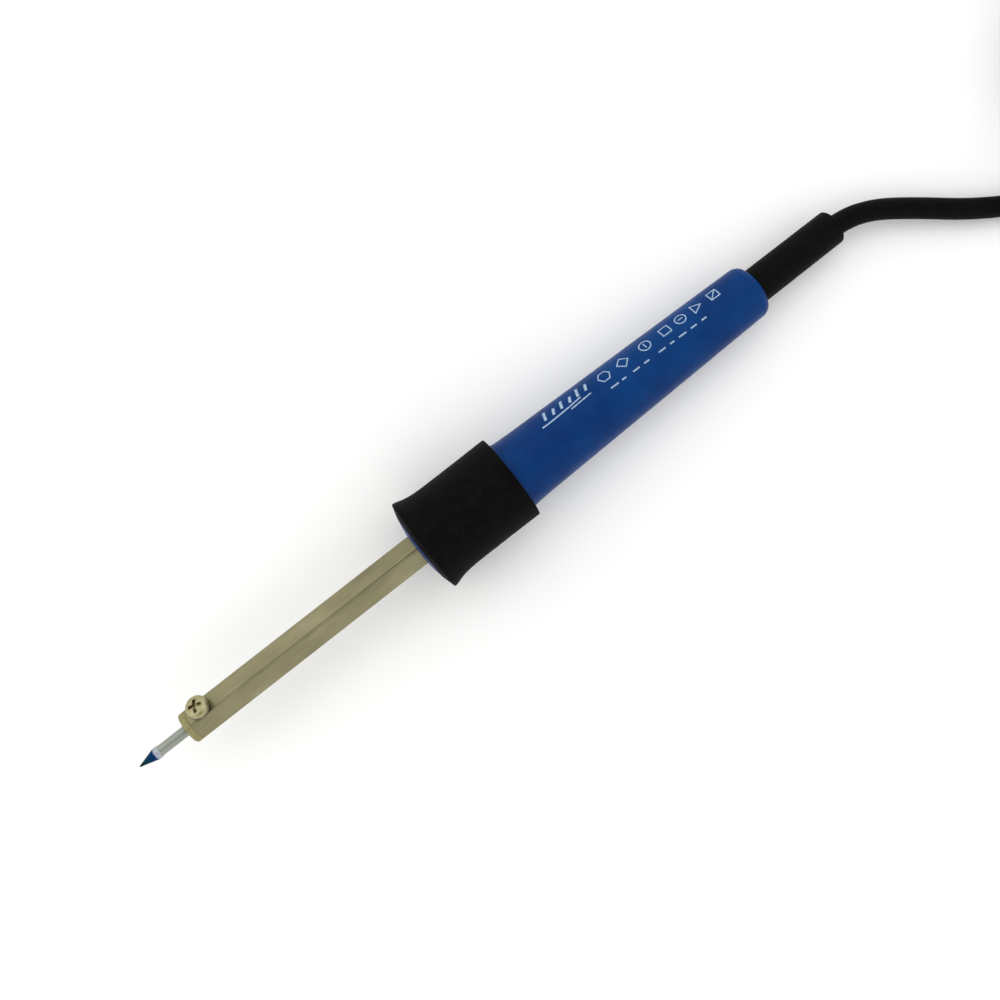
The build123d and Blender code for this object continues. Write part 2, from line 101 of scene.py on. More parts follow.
# The barrel's seam, up and aside from the iron's axis.
SEAM_UP, SEAM_ASIDE = 5.1, 0.35
CORD_DIAMETER = 6.1


# ==== Shapes ====
def unit(vector):
    """A vector or rows of vectors, each divided by its own length."""
    return vector / np.linalg.norm(vector, axis=-1, keepdims=True)


def iron(station, across, up):
    """Places arrays of station, across and up on the tilted iron, in metres: the bit's point, plus each
    distance along its own axis of the iron."""
    station, across, up = np.broadcast_arrays(station, across, up)
    return (POINT + station[..., None] * ALONG + across[..., None] * ACROSS + up[..., None] * UP) * MM


def ring_angles(count):
    """Evenly spaced angles once round, from +Y towards up."""
    return np.linspace(0, 2 * np.pi, count, endpoint=False)


def rounded(points, radius, steps=5):
    """An open polyline whose inner corners become tangent arcs: each arc starts and ends radius over the
    tangent of half the corner's angle from the corner, or 0.45 of the shorter side if that is less."""
    points = np.asarray(points, float)
    radii = np.broadcast_to(radius, len(points) - 2)
    line = [points[:1]]
    for before, corner, after, size in zip(points, points[1:], points[2:], radii):
        back, on = before - corner, after - corner
        half = math.acos(np.clip(unit(back) @ unit(on), -1, 1)) / 2
        if size <= 0 or half > 1.5:
            line.append(corner[None])
            continue
        cut = min(size / math.tan(half), 0.45 * np.linalg.norm(back), 0.45 * np.linalg.norm(on))
        centre = corner + unit(unit(back) + unit(on)) * cut / math.cos(half)
        first, last = corner + unit(back) * cut - centre, corner + unit(on) * cut - centre
        sweep, share = np.pi - 2 * half, np.linspace(0, 1, steps)[:, None]
        arc = np.sin((1 - share) * sweep) * first + np.sin(share * sweep) * last
        line.append(centre + arc / math.sin(sweep))
    return np.concatenate(line + [points[-1:]])


def strip(half_wide, half_tall, corner, steps):
    """A closed rectangle with rounded corners, from the middle of its top side."""
    return rounded([(0, half_tall), (half_wide, half_tall), (half_wide, -half_tall),
                    (-half_wide, -half_tall), (-half_wide, half_tall), (0, half_tall)], corner, steps)[:-1]


def held(value):
    """A value held between 0 and 1."""
    return np.clip(value, 0, 1)


def surface(name, grid, wrap_rows=False, caps=False, sharp=40):
    """A mesh from a grid of points: quads join each row to the next, the last row to the first if the
    rows wrap, and each row's last point to its first. Caps close the end rows. Doubled points at poles
    are merged, the faces are turned outwards, and edges over the sharp angle stay crisp."""
    rows, columns = grid.shape[:2]
    index = np.arange(rows * columns).reshape(rows, columns)
    wide = np.hstack([index, index[:, :1]])
    tall = np.vstack([wide, wide[:1]]) if wrap_rows else wide
    quads = np.stack([tall[:-1, :-1], tall[1:, :-1], tall[1:, 1:], tall[:-1, 1:]], -1).reshape(-1, 4)
    faces = quads.tolist()
    if caps:
        faces += [index[0].tolist(), index[-1][::-1].tolist()]
    mesh = bpy.data.meshes.new(name)
    mesh.from_pydata(grid.reshape(-1, 3).tolist(), [], faces)
    work = bmesh.new()
    work.from_mesh(mesh)
    bmesh.ops.remove_doubles(work, verts=work.verts, dist=2e-7)
    bmesh.ops.recalc_face_normals(work, faces=work.faces)
    work.to_mesh(mesh)
    work.free()
    mesh.shade_smooth()
    mesh.set_sharp_from_angle(angle=math.radians(sharp))
    piece = bpy.data.objects.new(name, mesh)
    bpy.context.scene.collection.objects.link(piece)
    return piece


def carried(station, radius, angle, place=iron):
    """Points at a radius and an angle round the axis, at each station along it."""
    return place(station + 0 * angle, radius * np.cos(angle), radius * np.sin(angle))


def turned(name, profile, columns=128, closed=True, place=iron):
    """A solid of revolution: each point of the profile (station, radius) is carried once round the axis.
    A closed profile wraps round to its first point, and an open one starts and ends on the axis."""
    profile = np.asarray(profile, float)
    grid = carried(profile[:, :1], profile[:, 1:2], ring_angles(columns), place)
    return surface(name, grid, wrap_rows=closed)


def hexagon(flats, edge, angle):
    """Radius of a six-sided section with one edge up, at each angle: half the flats over the cosine of
    the angle from the nearest flat's middle, cut off near the edges by a circle of radius edge."""
    turn = (angle + np.pi / 6) % (np.pi / 3) - np.pi / 6
    centre = (flats / 2 - edge) / math.cos(np.pi / 6)
    off = np.pi / 6 - np.abs(turn)
    flat = flats / 2 / np.cos(turn)
    arc = centre * np.cos(off) + np.sqrt(np.maximum(edge**2 - (centre * np.sin(off)) ** 2, 0))
    reach = math.atan2(edge / 2, centre + edge * math.cos(np.pi / 6))
    return np.where(off < reach, arc, flat)


def hexagon_angles(per_side=24):
    """Angles once round a six-sided section, closer together near its edges."""
    share = np.linspace(-1, 1, per_side, endpoint=False)
    side = np.sign(share) * (1 - (1 - np.abs(share)) ** 1.7) * np.pi / 6
    return (np.arange(6)[:, None] * np.pi / 3 + side).ravel()


def finish_piece(piece, slot, finish, *nodes, body="iron"):
    """Gives a new piece its body and its finish as a material, and hides the nodes it stands for. The slot is not
    used.
    """
    piece.data.materials.append(finish_of(finish))
    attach(piece, body)
    if nodes:
        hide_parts(*nodes)


# ==== Materials ====
def linear(code):
    """Linear colour from an sRGB hex value."""
    parts = np.array([int(code[i:i + 2], 16) / 255 for i in (0, 2, 4)])
    return (*np.where(parts <= 0.04045, parts / 12.92, ((parts + 0.055) / 1.055) ** 2.4), 1.0)


def add(tree, kind, inputs=(), **settings):
    """Adds a node: settings are its own properties, inputs its sockets' values or the outputs to link."""
    made = tree.nodes.new("ShaderNode" + kind)
    for key, value in settings.items():
        setattr(made, key, value)
    for key, value in dict(inputs).items():
        if isinstance(value, bpy.types.NodeSocket):
            tree.links.new(value, made.inputs[key])
        else:
            made.inputs[key].default_value = value
    return made


def blank(name, **constants):
    """A material with only a Principled shader, whose sockets are set to the constants."""
    material = bpy.data.materials.new(name)
    material.use_nodes = True
    tree = material.node_tree
    shader = tree.nodes["Principled BSDF"]
    for key, value in constants.items():
        shader.inputs[key.replace("_", " ").title().replace("Ior", "IOR")].default_value = value
    return material, tree, shader


def station_of(tree):
    """Distance from the bit's point along the iron, in millimetres."""
    place = add(tree, "TexCoord").outputs["Object"]
    moved = add(tree, "VectorMath", {0: place, 1: tuple(POINT * MM)}, operation="SUBTRACT")
    along = add(tree, "VectorMath", {0: moved.outputs[0], 1: tuple(ALONG / MM)}, operation="DOT_PRODUCT")
    return along.outputs["Value"]


def grain(tree, size, detail=3.0, stretch=(1, 1, 1)):
    """Noise with features of a real size in millimetres, drawn out by the stretch along each axis."""
    place = add(tree, "TexCoord").outputs["Object"]
    scaled = add(tree, "Mapping", {"Vector": place, "Scale": tuple(1 / s for s in stretch),
                                   "Rotation": (0, -math.atan2(-ALONG[2], ALONG[0]), 0)})
    return add(tree, "TexNoise", {"Vector": scaled.outputs[0], "Scale": 1 / (size * MM), "Detail": detail,
                                  "Roughness": 0.6}).outputs["Fac"]


def ramp(tree, factor, stops):
    """A colour ramp through (place, hex) stops."""
    made = add(tree, "ValToRGB", {"Fac": factor})
    band = made.color_ramp
    while len(band.elements) < len(stops):
        band.elements.new(0.5)
    for element, (place, code) in zip(band.elements, stops):
        element.position = place
        element.color = linear(code)
    return made.outputs["Color"]


def spread(tree, value, low, high, to_low=0.0, to_high=1.0):
    """A value mapped from one range to another and held at its ends."""
    return add(tree, "MapRange", {"Value": value, "From Min": low, "From Max": high, "To Min": to_low,
                                  "To Max": to_high}).outputs["Result"]


def bump(tree, shader, height, depth):
    """Bump of a real depth in millimetres on the shader's normal."""
    made = add(tree, "Bump", {"Height": height, "Distance": depth * MM, "Strength": 1.0})
    tree.links.new(made.outputs[0], shader.inputs["Normal"])


def tones(tree, shader, value, low, high, dark, light):
    """Base colour from dark to light as the value goes from low to high."""
    tint = ramp(tree, spread(tree, value, low, high), [(0.0, dark), (1.0, light)])
    tree.links.new(tint, shader.inputs["Base Color"])


def gloss(tree, shader, value, low, high, smooth, rough):
    """Roughness from smooth to rough as the value goes from low to high."""
    tree.links.new(spread(tree, value, low, high, smooth, rough), shader.inputs["Roughness"])


def bit_plating():
    """Iron-plated copper bit: blue-black oxide on the cone, from heat, black at its very point, a raised ring
    behind it whose pale lilac-white colour is a painted highlight, and a chromed shank. All of it is satin, dulled
    by fine wear."""
    material, tree, shader = blank("oxidised_iron_plating", metallic=1.0)
    station = station_of(tree)
    wear = grain(tree, 0.5, 4.0)
    ragged = add(tree, "Math", {0: wear, 1: 0.7, 2: station}, operation="MULTIPLY_ADD")
    # Colour stops along the bit: black at the point, teal and blue oxide on the cone, then the pale lilac-white
    # stops at 0.305 and 0.35, a painted highlight on the raised ring, then the shank's own colour.
    tint = ramp(tree, spread(tree, ragged.outputs[0], 0.0, 20.0),
                [(0.0, "020203"), (0.055, "061014"), (0.11, "0A3338"), (0.17, "063248"), (0.285, "052C60"),
                 (0.305, "A2A8B4"), (0.35, "A8AEB8"), (0.375, "989C92"), (1.0, "8C9186")])
    tree.links.new(tint, shader.inputs["Base Color"])
    gloss(tree, shader, wear, 0.3, 0.75, 0.36, 0.55)
    bump(tree, shader, grain(tree, 0.12, 2.0), 0.01)
    return material


def folded_steel():
    """Nickel-plated steel sheet, folded and drawn: fine lengthwise draw lines, a straw heat tint and
    slightly uneven gloss."""
    material, tree, shader = blank("folded_nickel_plated_steel", metallic=1.0)
    lines = grain(tree, 0.22, 4.0, (60, 1, 1))
    cloud = grain(tree, 6.0, 2.0, (3, 1, 1))
    mixed = add(tree, "Math", {0: lines, 1: 0.55, 2: cloud},
                operation="MULTIPLY_ADD")
    tint = ramp(tree, spread(tree, mixed.outputs[0], 0.5, 1.05),
                [(0.0, "77735A"), (0.5, "868163"), (1.0, "969173")])
    tree.links.new(tint, shader.inputs["Base Color"])
    gloss(tree, shader, mixed.outputs[0], 0.45, 1.1, 0.36, 0.5)
    bump(tree, shader, lines, 0.012)
    return material


def zinc_steel(name, low, high, rough):
    """Zinc-plated steel with a yellow passivate: matt, softly mottled."""
    material, tree, shader = blank(name, metallic=1.0)
    cloud = grain(tree, 0.9, 4.0)
    tones(tree, shader, cloud, 0.3, 0.7, low, high)
    gloss(tree, shader, cloud, 0.3, 0.7, rough - 0.06, rough + 0.1)
    bump(tree, shader, grain(tree, 0.15, 3.0), 0.012)
    return material


def moulded_nylon():
    """Glass-filled nylon, injection moulded in blue: satin, with a fine spark-eroded texture and a few
    handling marks that are a little glossier."""
    material, tree, shader = blank("moulded_blue_nylon", specular_ior_level=0.07)
    cloud = grain(tree, 14.0, 3.0)
    tones(tree, shader, cloud, 0.3, 0.7, "022B62", "043972")
    gloss(tree, shader, grain(tree, 2.5, 5.0), 0.35, 0.65, 0.32, 0.44)
    bump(tree, shader, grain(tree, 0.18, 2.0), 0.012)
    return material


def printing_ink():
    """Pad-printed ink, pale blue-white: matt and thin, a little uneven in cover."""
    material, tree, shader = blank("pad_printed_ink", roughness=0.55)
    cover = grain(tree, 0.35, 4.0)
    tones(tree, shader, cover, 0.3, 0.62, "5A7CA4", "A8BCCE")
    return material


def moulded_rubber(name, dark, light, rough, size):
    """Black moulded rubber or soft PVC: matt, with a fine pitted skin and faint dust."""
    material, tree, shader = blank(name, specular_ior_level=0.05)
    dust = grain(tree, size * 8, 5.0)
    tones(tree, shader, dust, 0.35, 0.75, dark, light)
    gloss(tree, shader, dust, 0.3, 0.7, rough, rough + 0.14)
    bump(tree, shader, grain(tree, size, 3.0), 0.03)
    return material


def plain_metal(name, code, rough):
    """A plain metal part: even colour, with fine scratches that vary its gloss."""
    material, tree, shader = blank(name, metallic=1.0, base_color=linear(code))
    marks = grain(tree, 0.4, 4.0, (5, 1, 1))
    gloss(tree, shader, marks, 0.3, 0.7, rough - 0.05, rough + 0.1)
    bump(tree, shader, marks, 0.005)
    return material


def plain_insulator(name, low, high, rough, size):
    """A ceramic, mica, glass-fibre or plastic insulator: two close tones in cloudy patches, fine grain."""
    material, tree, shader = blank(name, roughness=rough)
    cloud = grain(tree, size, 4.0)
    tones(tree, shader, cloud, 0.3, 0.7, low, high)
    bump(tree, shader, grain(tree, size / 6, 2.0), 0.02)
    return material


def striped_insulation():
    """Green PVC core with a yellow stripe on each side."""
    material, tree, shader = blank("green_yellow_pvc", roughness=0.4)
    place = add(tree, "SeparateXYZ", {0: add(tree, "TexCoord").outputs["Normal"]})
    side = add(tree, "Math", {0: place.outputs["Y"]}, operation="ABSOLUTE")
    tones(tree, shader, side.outputs[0], 0.66, 0.7, "1E7A3A", "E0C81E")
    return material


# Each finish: the function that makes its material, and what that function is given.
FINISHES = {
    "bit": (bit_plating,),
    "barrel": (folded_steel,),
    "nose": (zinc_steel, "yellow_passivated_zinc", "827C56", "969068", 0.38),
    "screw": (zinc_steel, "zinc_plated_screw_steel", "8F8866", "B0A983", 0.36),
    "washer": (plain_metal, "blackened_spring_steel", "6E6A5C", 0.4),
    "nylon": (moulded_nylon,),
    "ink": (printing_ink,),
    "rubber": (moulded_rubber, "moulded_black_rubber", "030303", "0F0E0C", 0.6, 0.35),
    "boot": (moulded_rubber, "soft_black_pvc", "040404", "0D0C0A", 0.5, 0.5),
    "sheath": (moulded_rubber, "black_rubber_sheath", "030303", "0B0B0A", 0.5, 0.4),
    "plug": (moulded_rubber, "moulded_black_pvc", "0A0A0A", "191918", 0.4, 0.3),
    "pin": (plain_metal, "nickel_plated_brass", "D8D5CC", 0.18),
    "tie": (moulded_rubber, "black_polythene_tie", "0C0C0C", "1F1F1E", 0.35, 0.3),
    "tube": (plain_metal, "stainless_steel_tube", "A8A8A6", 0.3),
    "wire": (plain_metal, "nickel_chrome_wire", "8B8078", 0.35),
    "nickel": (plain_metal, "nickel_rod", "B4AEA2", 0.28),
    "tinned": (plain_metal, "tinned_copper", "C9C4BC", 0.25),
    "mica": (plain_insulator, "phlogopite_mica", "A88B5C", "CDB98C", 0.3, 2.0),
    "steatite": (plain_insulator, "unglazed_steatite", "D8D2C2", "E9E5DA", 0.6, 1.5),
    "sleeving": (plain_insulator, "braided_glass_sleeving", "D6D2C6", "ECE9E0", 0.7, 0.5),
    "brown": (plain_insulator, "brown_pvc", "4A2512", "5A2F19", 0.4, 3.0),
    "blue": (plain_insulator, "light_blue_pvc", "1E5FB4", "2A6EC4", 0.4, 3.0),
    "earth": (striped_insulation,),
}
MADE = {}


def finish_of(name):
    """Each material is made once, the first time that a piece asks for it."""
    if name not in MADE:
        maker, *values = FINISHES[name]
        MADE[name] = maker(*values)
    return MADE[name]


# ==== Sizes and colours that a user would change ====
class StageSettings(bpy.types.PropertyGroup):
    lens: FloatProperty(name="Lens", description="Focal length on a 36 mm sensor", default=40.0)
    height: FloatProperty(name="Camera Height", description="Camera above the table", default=0.3214,
                          unit="LENGTH")
    turn: FloatProperty(name="Camera Turn", description="Turn of the picture about the upright",
                        default=math.radians(-38), subtype="ANGLE")
    floor: StringProperty(name="Floor Colour", description="sRGB hex of the table", default="FAFAF9")
    walls: FloatProperty(name="Walls", description="Brightness of the room round the sides", default=1.18)
    ceiling: FloatProperty(name="Ceiling", description="Brightness of the room overhead", default=0.3)
    soft_light: FloatProperty(name="Soft Light", description="Strength of the two light panels",
                              default=1.0)


class BitSettings(bpy.types.PropertyGroup):
    cone_length: FloatProperty(name="Cone Length", description="Conical point, in millimetres",
                               default=CONE_END)
    ring_width: FloatProperty(name="Ring Width", description="Pale ring behind the cone, in millimetres",
                              default=1.1)


class BarrelSettings(bpy.types.PropertyGroup):
    edge_radius: FloatProperty(name="Edge Radius", description="Fold radius of the edges, in millimetres",
                               default=0.8)
    seam_width: FloatProperty(name="Seam Width", description="Gap of the seam at the cap, in millimetres",
                              default=0.16)


class ScrewSettings(bpy.types.PropertyGroup):
    head_radius: FloatProperty(name="Head Radius", description="Clamp screw's head, in millimetres",
                               default=3.25)
    recess_depth: FloatProperty(name="Recess Depth", description="Cross recess, in millimetres", default=1.5)


class HandleSettings(bpy.types.PropertyGroup):
    mould_line: FloatProperty(name="Mould Line", description="Height of the parting line, in millimetres",
                              default=0.05)
    print_turn: FloatProperty(name="Print Turn", description="Turn of the print's middle from +Y towards up",
                              default=math.radians(49), subtype="ANGLE")


class CordSettings(bpy.types.PropertyGroup):
    turns: IntProperty(name="Turns", description="Turns of cord in the hank", default=5, min=1, max=5)


class PlugSettings(bpy.types.PropertyGroup):
    grip_ribs: IntProperty(name="Grip Ribs", description="Ribs along each side of the waist", default=7)


# ==== Pieces ====
class IRON_OT_bit(bpy.types.Operator):
    """The bit: a cone with a rounded point, a raised ring behind it and a plain shank, turned about the
    iron's axis."""
    bl_idname = "iron.bit"
    bl_label = "Bit"

    def execute(self, context):
        sizes = context.scene.iron_bit
        cone, ring = sizes.cone_length, sizes.ring_width
        profile = rounded([(0.0, 0.0), (0.02, 0.16), (cone - 0.5, CONE_RADIUS - 0.1),
                           (cone, CONE_RADIUS - 0.04), (cone + 0.12, CONE_RADIUS - 0.16),
                           (cone + 0.3, CONE_RADIUS - 0.03), (cone + ring - 0.2, CONE_RADIUS - 0.05),
                           (cone + ring + 0.15, SHANK_RADIUS), (BIT_END - 0.4, SHANK_RADIUS),
                           (BIT_END, SHANK_RADIUS - 0.4), (BIT_END, 0.0)],
                          [0.1, 0.4, 0.15, 0.08, 0.12, 0.12, 0.2, 0.2, 0.1])
        piece = turned("bit", profile, columns=72, closed=False)
        finish_piece(piece, "plated_bit", "bit", "soldering_bit", body="bit")
        return {"FINISHED"}


class IRON_OT_barrel(bpy.types.Operator):
    """The barrel and its nose. The barrel is one folded sheet: its section runs round the outside from
    one lip of the seam to the other and back round the inside, and is carried along the iron. The nose is
    a six-sided block with a low chamfered face and a round bore: its sections blend from the bore's
    circle to the hexagon."""
    bl_idname = "iron.barrel"
    bl_label = "Barrel and Nose"

    def execute(self, context):
        sizes = context.scene.iron_barrel
        seam = math.atan2(SEAM_UP, SEAM_ASIDE)
        mouth = [BARREL_START, BARREL_START + 0.05, BARREL_START + 0.2]
        station = np.concatenate([mouth, np.linspace(BARREL_START + 3, BARREL_END, 40)])[:, None]
        opening = np.interp(station, [BARREL_START, 60.0, CAP_START], [0.35, 0.5, 1.0])
        half_gap = sizes.seam_width / (2 * SEAM_UP) * opening
        angle = np.sort((hexagon_angles() - seam) % (2 * np.pi))
        angle = angle[(angle > 0.06) & (angle < 2 * np.pi - 0.06)] + 0 * station
        lips = half_gap * np.array([1.0, 1.3, 1.9])
        angle = np.concatenate([lips, angle, 2 * np.pi - lips[:, ::-1]], 1)
        drop = np.zeros_like(angle)
        drop[:, [0, -1]], drop[:, [1, -2]] = 0.06, 0.02
        outer = hexagon(BARREL_FLATS, sizes.edge_radius, angle + seam) - drop
        inner = hexagon(BARREL_FLATS - 2 * BARREL_WALL, 0.4, angle + seam)
        radius = np.concatenate([outer, inner[:, ::-1]], 1)
        around = np.concatenate([angle, angle[:, ::-1]], 1) + seam
        shrink = np.interp(station, mouth, [0.985, 0.995, 1.0])
        piece = surface("barrel_sheet", carried(station, radius * shrink, around), caps=True, sharp=50)
        finish_piece(piece, "barrel_steel", "barrel", "barrel")

        around = hexagon_angles()
        bore = SHANK_RADIUS + 0.07
        # Station, radius or half the distance across flats, and how far the section is six-sided.
        rows = [(NOSE_START + 3.0, bore, 0), (NOSE_START + 0.25, bore, 0),
                (NOSE_START + 0.05, bore + 0.12, 0), (NOSE_START, bore + 0.3, 0.1), (NOSE_START, 2.7, 0.6),
                (NOSE_START + 0.02, 3.45, 1), (NOSE_START + 0.1, 3.72, 1), (NOSE_START + 0.58, 4.36, 1),
                (NOSE_START + 0.75, 4.52, 1), (NOSE_START + 1.0, 4.58, 1), (BARREL_START - 0.1, 4.58, 1),
                (BARREL_START - 0.02, 4.5, 1), (BARREL_START - 0.01, 3.9, 1), (NOSE_END, 3.9, 1),
                (NOSE_END, bore, 0)]
        station, flat, blend = np.array(rows).T[:, :, None]
        six = hexagon(1.0, 0.11, around) * 2 * flat
        grid = carried(station, flat * (1 - blend) + six * blend, around)
        piece = surface("nose", grid, wrap_rows=True, sharp=50)
        finish_piece(piece, "nose_steel", "nose", "nose_block")
        return {"FINISHED"}


def on_screw(out, along, aside):
    """Places arrays on the clamp screw: out from the iron's axis, along it, and aside square to both."""
    origin = POINT + SCREW_STATION * ALONG
    side = np.cross(SCREW_OUT, ALONG)
    out, along, aside = np.broadcast_arrays(out, along, aside)
    return (origin + out[..., None] * SCREW_OUT + along[..., None] * ALONG + aside[..., None] * side) * MM


class IRON_OT_clamp_screw(bpy.types.Operator):
    """The clamp screw and its spring washer. The head is a dome over a disc of rings, sunk where two
    crossed slots run: the depth eases in from each slot's edge and from its end. The thread is a radius
    that rises and falls with the height plus the turn. The washer is a flat wire carried nearly once
    round, which rises a little as it goes."""
    bl_idname = "iron.clamp_screw"
    bl_label = "Clamp Screw and Washer"

    def execute(self, context):
        sizes = context.scene.iron_screw
        head, crown = sizes.head_radius, HEAD_SEAT + HEAD_HEIGHT
        angle = ring_angles(160)
        reach = np.concatenate([np.linspace(0, 2.3, 40), np.linspace(2.36, head - 0.22, 12)])[:, None]
        dome = crown - 0.5 * (reach / head) ** 2 - 0.35 * (reach / head) ** 6
        x, y = reach * np.cos(angle + 0.32), reach * np.sin(angle + 0.32)
        slot_half, slot_reach = 0.42, 1.95
        side_ease, end_ease = 0.14, 0.35
        first, second = (held((slot_half - np.abs(wide)) / side_ease + 0.5)
                         * held((slot_reach - np.abs(far)) / end_ease) for wide, far in ((y, x), (x, y)))
        sunk = np.maximum(first, second) * (1 - 0.25 * held(reach / slot_reach))
        top = dome - sizes.recess_depth * sunk
        rim_out = np.array([-0.93, -1.06, -1.3, -1.9, -2.08, -2.2])[:, None] + crown
        rim_reach = np.array([head - 0.12, head - 0.04, head, head, head - 0.05, head - 0.2])[:, None]
        thread_out = np.linspace(HEAD_SEAT, 2.0, 110)[:, None]
        ridge = 0.16 * (np.abs(((thread_out / THREAD_PITCH + angle / (2 * np.pi)) % 1.0) * 2 - 1) - 0.5)
        thread_reach = THREAD_MIDDLE + ridge * held((HEAD_SEAT - thread_out) / 0.3)
        end_out = np.array([1.75, 1.62, 1.6])[:, None]
        end_reach = np.array([1.45, 1.2, 0.0])[:, None]
        out = np.concatenate([top, rim_out + 0 * angle, thread_out + 0 * angle, end_out + 0 * angle])
        far = np.concatenate([reach + 0 * angle, rim_reach + 0 * angle, thread_reach, end_reach + 0 * angle])
        piece = surface("recessed_screw", on_screw(out, far * np.cos(angle), far * np.sin(angle)), sharp=32)
        finish_piece(piece, "screw_steel", "screw", "clamp_screw", body="screw")

        turn = np.linspace(0.07, 2 * np.pi - 0.07, 120)[:, None]
        section = rounded([(2.5, -0.45), (3.1, -0.45), (3.1, 0.45), (1.95, 0.45), (1.95, -0.45),
                           (2.5, -0.45)], 0.1, 4)[:-1].T[:, None]
        rise = WASHER_MIDDLE + 0.14 * turn / (2 * np.pi)
        way = turn + 0.6
        grid = on_screw(rise + section[1] * 0.78, section[0] * np.cos(way), section[0] * np.sin(way))
        piece = surface("spring_washer", grid, caps=True)
        finish_piece(piece, "spring_steel", "washer", "lock_washer", body="washer")
        return {"FINISHED"}


def handle_radius(station):
    """The handle's radius: a short quick taper behind the grip, then a long even one."""
    return 9.62 - (station - 150.0) * 0.0257 + 0.35 * np.exp(-(station - GRIP_END) / 2.0)


class IRON_OT_handle(bpy.types.Operator):
    """The handle: a turned moulding with a faint raised parting line on each side, the height of a narrow
    bell curve of the distance round from it. Inside it is hollow, with a shelf behind its front and a
    rear wall with a hole for the boot."""
    bl_idname = "iron.handle"
    bl_label = "Handle"

    def execute(self, context):
        line_height = context.scene.iron_handle.mould_line
        lines = np.radians([145.0, 325.0])
        near = np.linspace(-0.06, 0.06, 17)
        # The small shift keeps these angles off the even ones.
        angle = np.sort(np.concatenate([ring_angles(144), lines[0] + near + 1e-4, lines[1] + near + 1e-4]))
        body = np.concatenate([np.linspace(GRIP_END + 0.06, GRIP_END + 8, 24)[:-1],
                               np.linspace(GRIP_END + 8, REST_STATION - 0.5, 40)])
        outer = np.stack([body, handle_radius(body)], 1)
        rear = rounded([outer[-1], (REST_STATION + 0.1, 7.98), (214.5, 7.3), (HANDLE_END, 6.2),
                        (HANDLE_END, 4.35)], [1.5, 1.2, 0.5], 7)
        inner = [(REAR_WALL_START, 4.35), (REAR_WALL_START, 6.0), (150.0, 7.6), (SHELF_END + 2, 8.4),
                 (SHELF_END, 5.9), (SHELF_START, 5.9), (SHELF_START, 8.7), (HANDLE_START, 8.7),
                 (HANDLE_START, 10.6), (GRIP_END, 10.6)]
        profile = np.concatenate([outer[:-1], rear, np.array(inner)])
        shown = ((profile[:, 0] > GRIP_END) & (profile[:, 1] > 7.9))[:, None]
        away = np.minimum(np.abs(angle - lines[0]), np.abs(angle - lines[1])) * profile[:, 1:2]
        radius = profile[:, 1:2] + shown * line_height * np.exp(-((away / 0.16) ** 2))
        piece = surface("handle_moulding", carried(profile[:, :1], radius, angle), wrap_rows=True)
        finish_piece(piece, "handle_plastic", "nylon", "handle")
        return {"FINISHED"}


class IRON_OT_grip(bpy.types.Operator):
    """The rubber grip sleeve, flared at its front with a concave curve, and the domed front cap, whose
    sections blend from the barrel's hexagon to circles while its face rises to a low dome."""
    bl_idname = "iron.grip"
    bl_label = "Grip Sleeve and Front Cap"

    def execute(self, context):
        flare = np.linspace(GRIP_START + 0.7, GRIP_END - 0.6, 60)
        curve = 12.9 + 1.33 * np.exp(-((flare - flare[0]) / 3.2) ** 1.35) + 0.06 * held((flare - 118) / 10)
        front = rounded([(CAP_EDGE, 10.65), (GRIP_START, GRIP_RIM), (flare[0], curve[0])], 0.3, 6)
        rear = rounded([(flare[-1], curve[-1]), (GRIP_END, 12.97), (GRIP_END, 10.65)], 0.35, 6)
        profile = np.concatenate([front[:-1], np.stack([flare[:-1], curve[:-1]], 1), rear])
        piece = turned("flared_sleeve", profile, columns=192)
        finish_piece(piece, "grip_rubber", "rubber", "grip_sleeve")

        around = hexagon_angles(32)
        hole = 4.72
        rows = [(CAP_END, 8.2, 0), (98.6, 7.9, 0), (98.0, hole + 0.4, 1), (97.4, hole, 1), (95.85, hole, 1),
                (95.62, hole + 0.18, 1), (95.64, 5.7, 0.5)]
        dome = [(CAP_START + 1.15 * (r / 10.55) ** 2, r, 0) for r in np.linspace(6.3, 10.3, 20)]
        rim = [(CAP_EDGE - 0.02, 10.46, 0), (CAP_EDGE + 0.1, 10.55, 0), (HANDLE_START - 0.05, 10.55, 0),
               (HANDLE_START - 0.05, 8.6, 0), (CAP_END, 8.6, 0)]
        station, flat, blend = np.array(rows + dome + rim).T[:, :, None]
        size = flat * (1 - blend) + hexagon(1.0, 0.05, around) * 2 * flat * blend
        piece = surface("domed_cap", carried(station, size, around), wrap_rows=True, sharp=50)
        finish_piece(piece, "handle_plastic", "nylon", "front_cap")
        return {"FINISHED"}


def stroke(station, arc, width, turn, closed=False):
    """A printed line on the handle: a thin strip of a given width that follows (station, arc) points,
    arc being millimetres round from the turn. Its section is a flat box 0.03 mm proud of the handle."""
    line = np.stack([np.asarray(station, float), np.asarray(arc, float)], 1)
    if closed:
        ahead, behind = np.roll(line, -1, 0), np.roll(line, 1, 0)
    else:
        ahead = np.concatenate([line[1:], 2 * line[-1:] - line[-2:-1]])
        behind = np.concatenate([2 * line[:1] - line[1:2], line[:-1]])
    run_in, run_out = unit(line - behind), unit(ahead - line)
    middle = unit(run_in + run_out)
    normal = np.stack([-middle[:, 1], middle[:, 0]], 1) / np.clip((middle * run_in).sum(1), 0.6, 1)[:, None]
    offsets = np.array([-0.5, -0.5, 0.5, 0.5])[None, :, None] * width * normal[:, None]
    lift = np.array([-0.03, 0.03, 0.03, -0.03])
    place = line[:, None] + offsets
    radius = handle_radius(place[..., 0])
    return carried(place[..., 0], radius + lift, turn + place[..., 1] / radius)


